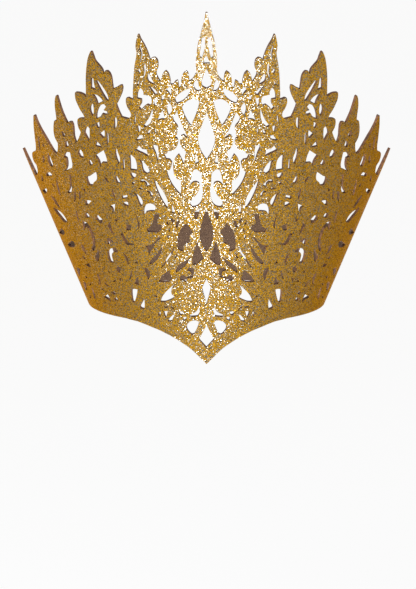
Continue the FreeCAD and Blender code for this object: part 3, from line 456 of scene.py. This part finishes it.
# %% The loop round the whole sheet
upper = []
for run in SPIKES:
    upper += smooth(run, closed=False)
tip_azimuth, tip_slant = spot(*SPIKES[-1][-1])
flank = smooth([on_sheet(tip_azimuth + turn, BACK_BAND + share * (tip_slant - BACK_BAND))
                for turn, share in SIDE_FLANK], closed=False)
band_end = 180 + LAP_HALF
back_top = [Vector(p) for p in ring_arc(tip_azimuth + TIP_TO_BAND, band_end, BACK_BAND)]
rim_start = spot(*POINT_EDGE[-1])[0] + POINT_TO_RIM
back_low = [Vector(p) for p in ring_arc(band_end, rim_start, RIM_EDGE)]
point_edge = smooth(POINT_EDGE, closed=False)
right_half = upper + flank + back_top + back_low + list(reversed(point_edge[1:]))
left_half = mirrored(right_half)
outline = [point_edge[0]] + left_half + right_half
print("outline:", len(outline), "points")

# %% All the openings, both halves
openings = []
for half in MIDDLE_OPENINGS:
    whole = half + [(-x, y) for x, y in reversed(half) if x > 0]
    openings.append(smooth(whole, corner=RHOMB_CORNER if len(half) == 3 else CORNER))
right_openings = (LOW_MIDDLE + SCROLLS + LEAVES + MIDDLE_TOP + SECOND_SPIKE + SECOND_COLUMN
                  + THIRD_SPIKE + LOW_SIDE + FOURTH_COLUMN + FOURTH_SPIKE + FIFTH_SPIKE)
right_openings += [[on_sheet(azimuth + turn, share * BACK_BAND) for turn, share in LEAF]
                   for azimuth in BACK_LEAVES]
for points in right_openings:
    openings += [smooth(points), mirrored(smooth(points))]
print("openings:", len(openings), "with", sum(len(o) for o in openings), "points")

# %% [markdown]
# ## The flat sheet
# The loops become edges of one bmesh, and triangle_fill covers what lies between the outline and the
# openings. A flat triangle can't bend, so the sheet is then sliced along the lines that run straight up
# the cone, every few degrees, before it is rolled.

# %% Fill the sheet
sheet = bmesh.new()


def add_loop(points):
    corners = [sheet.verts.new((p[0], p[1], 0.0)) for p in points]
    for here, there in zip(corners, corners[1:] + corners[:1]):
        sheet.edges.new((here, there))


for loop in [outline] + openings:
    add_loop(loop)
bmesh.ops.remove_doubles(sheet, verts=sheet.verts, dist=0.02)
bmesh.ops.triangle_fill(sheet, edges=sheet.edges[:], use_beauty=True, use_dissolve=False,
                        normal=(0, 0, 1))
flat_area = sum(face.calc_area() for face in sheet.faces)
cut_area = sum(abs(sum(a.x * b.y - a.y * b.x for a, b in zip(o, o[1:] + o[:1]))) / 2
               for o in openings)
print("flat card:", round(flat_area), "mm2, cut away inside it:", round(cut_area), "mm2")

# %% Slice it along the cone's straight lines
SLICE = 3.0
last_slice = int(band_end / SLICE)
for number in range(-last_slice, last_slice + 1):
    turn = math.radians(SLICE * number) * math.sin(FLARE)
    bmesh.ops.bisect_plane(sheet, geom=sheet.verts[:] + sheet.edges[:] + sheet.faces[:], dist=0.01,
                           plane_co=(0, -APEX, 0), plane_no=(math.cos(turn), -math.sin(turn), 0))
bmesh.ops.triangulate(sheet, faces=[face for face in sheet.faces if len(face.verts) > 3])
print("sliced sheet:", len(sheet.faces), "faces")

# %% Give it the card's thickness
for face in sheet.faces:
    face.material_index = 0
thick = bmesh.ops.extrude_face_region(sheet, geom=sheet.faces[:])
inner = [item for item in thick["geom"] if isinstance(item, bmesh.types.BMVert)]
bmesh.ops.translate(sheet, verts=inner, vec=(0, 0, -CARD))
bmesh.ops.recalc_face_normals(sheet, faces=sheet.faces[:])
sheet.normal_update()
for face in sheet.faces:
    if face.normal.z > 0.5:
        face.material_index = 0
    elif face.normal.z < -0.5:
        face.material_index = 1
    else:
        face.material_index = 2
print("card with thickness:", len(sheet.faces), "faces")

# %% [markdown]
# ## Rolling it up
# Every point keeps its distance from the ring's centre, and its angle there becomes an angle round the
# head, wider by one over the sine of the flare. The end that laps over the other lies a little further
# out, on a circle that leaves the main one gently.

# %% Roll the sheet into the cone
def roll(x, y, depth):
    """Place in space of a sheet point, depth millimetres inward from the outer face."""
    slant = math.hypot(x, y + APEX) - APEX
    around = math.atan2(x, y + APEX) / math.sin(FLARE)
    radius = RIM_RADIUS + slant * math.sin(FLARE) - depth * math.cos(FLARE)
    height = slant * math.cos(FLARE) + depth * math.sin(FLARE)
    leaving = math.radians(LAP_FROM)
    away_x = away_y = 0.0
    if around > leaving:
        radius += LAP_LIFT
        away_x, away_y = -LAP_LIFT * math.sin(leaving), LAP_LIFT * math.cos(leaving)
    return Vector((radius * math.sin(around) + away_x, -radius * math.cos(around) + away_y, height))


SHARP = math.radians(40)
edge_corners = [edge for edge in sheet.edges if edge.calc_face_angle(0) > SHARP]
for vert in sheet.verts:
    vert.co = roll(vert.co.x, vert.co.y, -vert.co.z) * MM
for face in sheet.faces:
    face.smooth = True
for edge in edge_corners:
    edge.smooth = False
crown_mesh = bpy.data.meshes.new("crown_card")
sheet.to_mesh(crown_mesh)
sheet.free()
crown = bpy.data.objects.new("crown_card", crown_mesh)
bpy.context.scene.collection.objects.link(crown)
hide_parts("crown")
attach(crown, "root")
print("crown:", len(crown_mesh.polygons), "faces")

# %% [markdown]
# ## Colours and nodes
# Colours are written as they look on a screen, and one function turns them into the linear values
# that Blender works with. A second small function adds a node with its settings and links.

# %% Helpers for materials
def linear(code):
    """Linear colour from an sRGB hex code."""
    parts = [int(code[k:k + 2], 16) / 255 for k in (1, 3, 5)]
    return [c / 12.92 if c <= 0.04045 else ((c + 0.055) / 1.055) ** 2.4 for c in parts] + [1.0]


def add_node(tree, kind, settings=None, values=None, links=None, stops=()):
    """A node of a kind, with its settings, socket values, links to its sockets and ramp stops."""
    node = tree.nodes.new(kind)
    for name, value in (settings or {}).items():
        setattr(node, name, value)
    for name, value in (values or {}).items():
        node.inputs[name].default_value = value
    for name, source in (links or {}).items():
        tree.links.new(source, node.inputs[name])
    for number, (position, code) in enumerate(stops):
        elements = node.color_ramp.elements
        element = elements[number] if number < 2 else elements.new(position)
        element.position, element.color = position, linear(code)
    return node


def new_material(name):
    material = bpy.data.materials.new(name)
    material.use_nodes = True
    material.node_tree.nodes.clear()
    return material, material.node_tree


# %% [markdown]
# ## Gold glitter
# Glitter card is paper with a lacquer full of tiny flakes that lie at every slight angle. A Voronoi
# pattern gives each flake its cell, and the cell's random colour tilts its normal. A second random
# value picks the flake's kind. Most are gold and dull, which gives the sheet its warm ground and its
# dark specks. The rest are mirrors of a paler metal, and those that face the low lamp flash white. The
# specular tint is what a wall looks like that is seen nearly edge-on: deep orange gold.

# %% Glitter material
FLAKE = 0.45 * MM
MIRRORS = 0.3
TILT = 0.45

glitter, tree = new_material("gold_glitter_card")
place = add_node(tree, "ShaderNodeTexCoord")
flakes = add_node(tree, "ShaderNodeTexVoronoi", values={"Scale": 1 / FLAKE, "Randomness": 1.0},
                  links={"Vector": place.outputs["Object"]})
chance = add_node(tree, "ShaderNodeTexWhiteNoise", links={"Vector": flakes.outputs["Position"]})
golds = add_node(tree, "ShaderNodeValToRGB", links={"Fac": chance.outputs["Value"]},
                 stops=[(0.0, "#54390c"), (0.18, "#8c6410"), (0.42, "#9c7018"),
                        (1.0 - MIRRORS, "#766c5c")])
golds.color_ramp.interpolation = "CONSTANT"
mirror = add_node(tree, "ShaderNodeMath", {"operation": "GREATER_THAN"}, {1: 1.0 - MIRRORS},
                  {0: chance.outputs["Value"]})
dullness = add_node(tree, "ShaderNodeMapRange", values={"To Min": 0.75, "To Max": 0.28},
                    links={"Value": mirror.outputs[0]})
normal = add_node(tree, "ShaderNodeNewGeometry")
tilt = add_node(tree, "ShaderNodeVectorMath", {"operation": "SUBTRACT"}, {1: (0.5, 0.5, 0.5)},
                {0: flakes.outputs["Color"]})
scaled = add_node(tree, "ShaderNodeVectorMath", {"operation": "SCALE"}, {"Scale": TILT},
                  {0: tilt.outputs["Vector"]})
leaning = add_node(tree, "ShaderNodeVectorMath", {"operation": "ADD"}, None,
                   {0: normal.outputs["Normal"], 1: scaled.outputs["Vector"]})
unit = add_node(tree, "ShaderNodeVectorMath", {"operation": "NORMALIZE"}, None,
                {0: leaning.outputs["Vector"]})
surface = add_node(tree, "ShaderNodeBsdfPrincipled",
                   values={"Metallic": 1.0, "Specular Tint": linear("#ffb868")},
                   links={"Base Color": golds.outputs["Color"], "Roughness": dullness.outputs[0],
                          "Normal": unit.outputs["Vector"]})
add_node(tree, "ShaderNodeOutputMaterial", links={"Surface": surface.outputs["BSDF"]})

# %% [markdown]
# ## The plain inside and the cut edges
# The back of glitter card is uncoated paper, matt and slightly cloudy, and it shows through the low
# openings. The cut edge is dark brown, partly the card's own edge and partly painted shade, which draws
# a dark line round every opening.

# %% Paper inside and cut edge, its dark brown partly painted shade
inside, tree = new_material("uncoated_card_back")
place = add_node(tree, "ShaderNodeTexCoord")
fibres = add_node(tree, "ShaderNodeTexNoise", values={"Scale": 1 / (1.5 * MM), "Detail": 3.0},
                  links={"Vector": place.outputs["Object"]})
paper = add_node(tree, "ShaderNodeValToRGB", links={"Fac": fibres.outputs["Fac"]},
                 stops=[(0.3, "#4c3019"), (0.7, "#604226")])
surface = add_node(tree, "ShaderNodeBsdfPrincipled", values={"Roughness": 0.75},
                   links={"Base Color": paper.outputs["Color"]})
add_node(tree, "ShaderNodeOutputMaterial", links={"Surface": surface.outputs["BSDF"]})

cut_edge, tree = new_material("cut_edge_painted_shade")
place = add_node(tree, "ShaderNodeTexCoord")
edge_noise = add_node(tree, "ShaderNodeTexNoise", values={"Scale": 1 / (2.5 * MM), "Detail": 2.0},
                links={"Vector": place.outputs["Object"]})
# The edge's dark brown is partly painted shade: it draws the dark line round every opening.
edge_brown_and_shade = add_node(tree, "ShaderNodeValToRGB", links={"Fac": edge_noise.outputs["Fac"]},
                 stops=[(0.3, "#40240c"), (0.7, "#6e401a")])
surface = add_node(tree, "ShaderNodeBsdfPrincipled", values={"Roughness": 0.7},
                   links={"Base Color": edge_brown_and_shade.outputs["Color"]})
add_node(tree, "ShaderNodeOutputMaterial", links={"Surface": surface.outputs["BSDF"]})
for material in (glitter, inside, cut_edge):
    crown_mesh.materials.append(material)

# %% [markdown]
# ## Floor and backdrop
# A pale floor catches the crown's shadow. The camera, mirrors and glass see it and the backdrop white,
# by Light Path, so the light on the crown needn't be raised to clear them.

# %% Who sees white
def seen_straight(tree):
    """One for a ray from the camera, a mirror or glass, and zero for light from all round."""
    ray = add_node(tree, "ShaderNodeLightPath")
    mirrored_or_seen = add_node(tree, "ShaderNodeMath", {"operation": "ADD"},
                                links={0: ray.outputs["Is Camera Ray"],
                                       1: ray.outputs["Is Glossy Ray"]})
    seen = add_node(tree, "ShaderNodeMath", {"operation": "ADD", "use_clamp": True},
                    links={0: mirrored_or_seen.outputs[0], 1: ray.outputs["Is Transmission Ray"]})
    return seen.outputs[0]


# %% Pale floor
FLOOR = -0.36
FLOOR_REACH = 60.0
floor_mesh = bpy.data.meshes.new("floor")
floor_shape = bmesh.new()
bmesh.ops.create_grid(floor_shape, x_segments=1, y_segments=1, size=FLOOR_REACH)
bmesh.ops.translate(floor_shape, verts=floor_shape.verts, vec=(0, 0, FLOOR))
floor_shape.to_mesh(floor_mesh)
floor_shape.free()
floor = bpy.data.objects.new("floor", floor_mesh)
bpy.context.scene.collection.objects.link(floor)
pale, tree = new_material("pale_floor")
matt = add_node(tree, "ShaderNodeBsdfDiffuse", values={"Color": linear("#f7f6f4")})
white = add_node(tree, "ShaderNodeEmission", values={"Color": linear("#ffffff"), "Strength": 1.0})
seen = seen_straight(tree)
part = add_node(tree, "ShaderNodeMath", {"operation": "MULTIPLY"}, {1: 0.9},
                {0: seen})
both = add_node(tree, "ShaderNodeMixShader", links={0: part.outputs[0], 1: matt.outputs[0],
                                                    2: white.outputs[0]})
add_node(tree, "ShaderNodeOutputMaterial", links={"Surface": both.outputs[0]})
floor_mesh.materials.append(pale)

# %% World
world = bpy.data.worlds.new("studio")
world.use_nodes = True
tree = world.node_tree
tree.nodes.clear()
dim = add_node(tree, "ShaderNodeBackground", values={"Color": linear("#ffffff"), "Strength": 0.55})
bright = add_node(tree, "ShaderNodeBackground", values={"Color": linear("#ffffff"), "Strength": 1.0})
seen = seen_straight(tree)
both = add_node(tree, "ShaderNodeMixShader", links={0: seen, 1: dim.outputs[0],
                                                    2: bright.outputs[0]})
add_node(tree, "ShaderNodeOutputWorld", links={"Surface": both.outputs[0]})
bpy.context.scene.world = world

# %% [markdown]
# ## Light and camera
# Two soft lamps stand on the camera's side. The wall leans toward the floor, so what the middle of the
# crown mirrors is a small cool lamp low in front, and it makes the pale band there. One more stands low
# behind on the left, for the wall that is seen edge-on.

# %% Lamps
def add_lamp(name, place, aim, size, power, color="#ffffff"):
    lamp = bpy.data.lights.new(name, "AREA")
    lamp.shape, lamp.size, lamp.energy = "DISK", size, power
    lamp.color = linear(color)[:3]
    stand = bpy.data.objects.new(name, lamp)
    stand.location = place
    stand.rotation_euler = (Vector(aim) - Vector(place)).to_track_quat("-Z", "Y").to_euler()
    stand.visible_camera = False
    bpy.context.scene.collection.objects.link(stand)


AIM = (0, 0, 0.08)
add_lamp("key", (-0.5, -1.4, 1.1), AIM, 0.6, 8)
add_lamp("low_front", (0.0, -0.62, -0.25), AIM, 0.25, 12, "#cfe4ff")
add_lamp("left_behind", (-0.95, 0.4, -0.15), AIM, 0.8, 5)
add_lamp("fill", (1.2, -1.0, 0.6), AIM, 0.8, 3)

# %% Camera
ELEVATION = math.radians(11)
DISTANCE = 2.0
eye = Vector((0, -math.cos(ELEVATION), math.sin(ELEVATION))) * DISTANCE
camera_data = bpy.data.cameras.new("camera")
camera = bpy.data.objects.new("camera", camera_data)
bpy.context.scene.collection.objects.link(camera)
camera.location = eye
camera.rotation_euler = (-eye).to_track_quat("-Z", "Y").to_euler()
camera_data.sensor_width = 36.0
camera_data.lens = 179.7
camera_data.shift_x = 0.0025
camera_data.shift_y = 0.0144
camera_data.clip_start, camera_data.clip_end = 0.05, 50.0
bpy.context.scene.camera = camera
bpy.context.scene.view_settings.view_transform = "Standard"
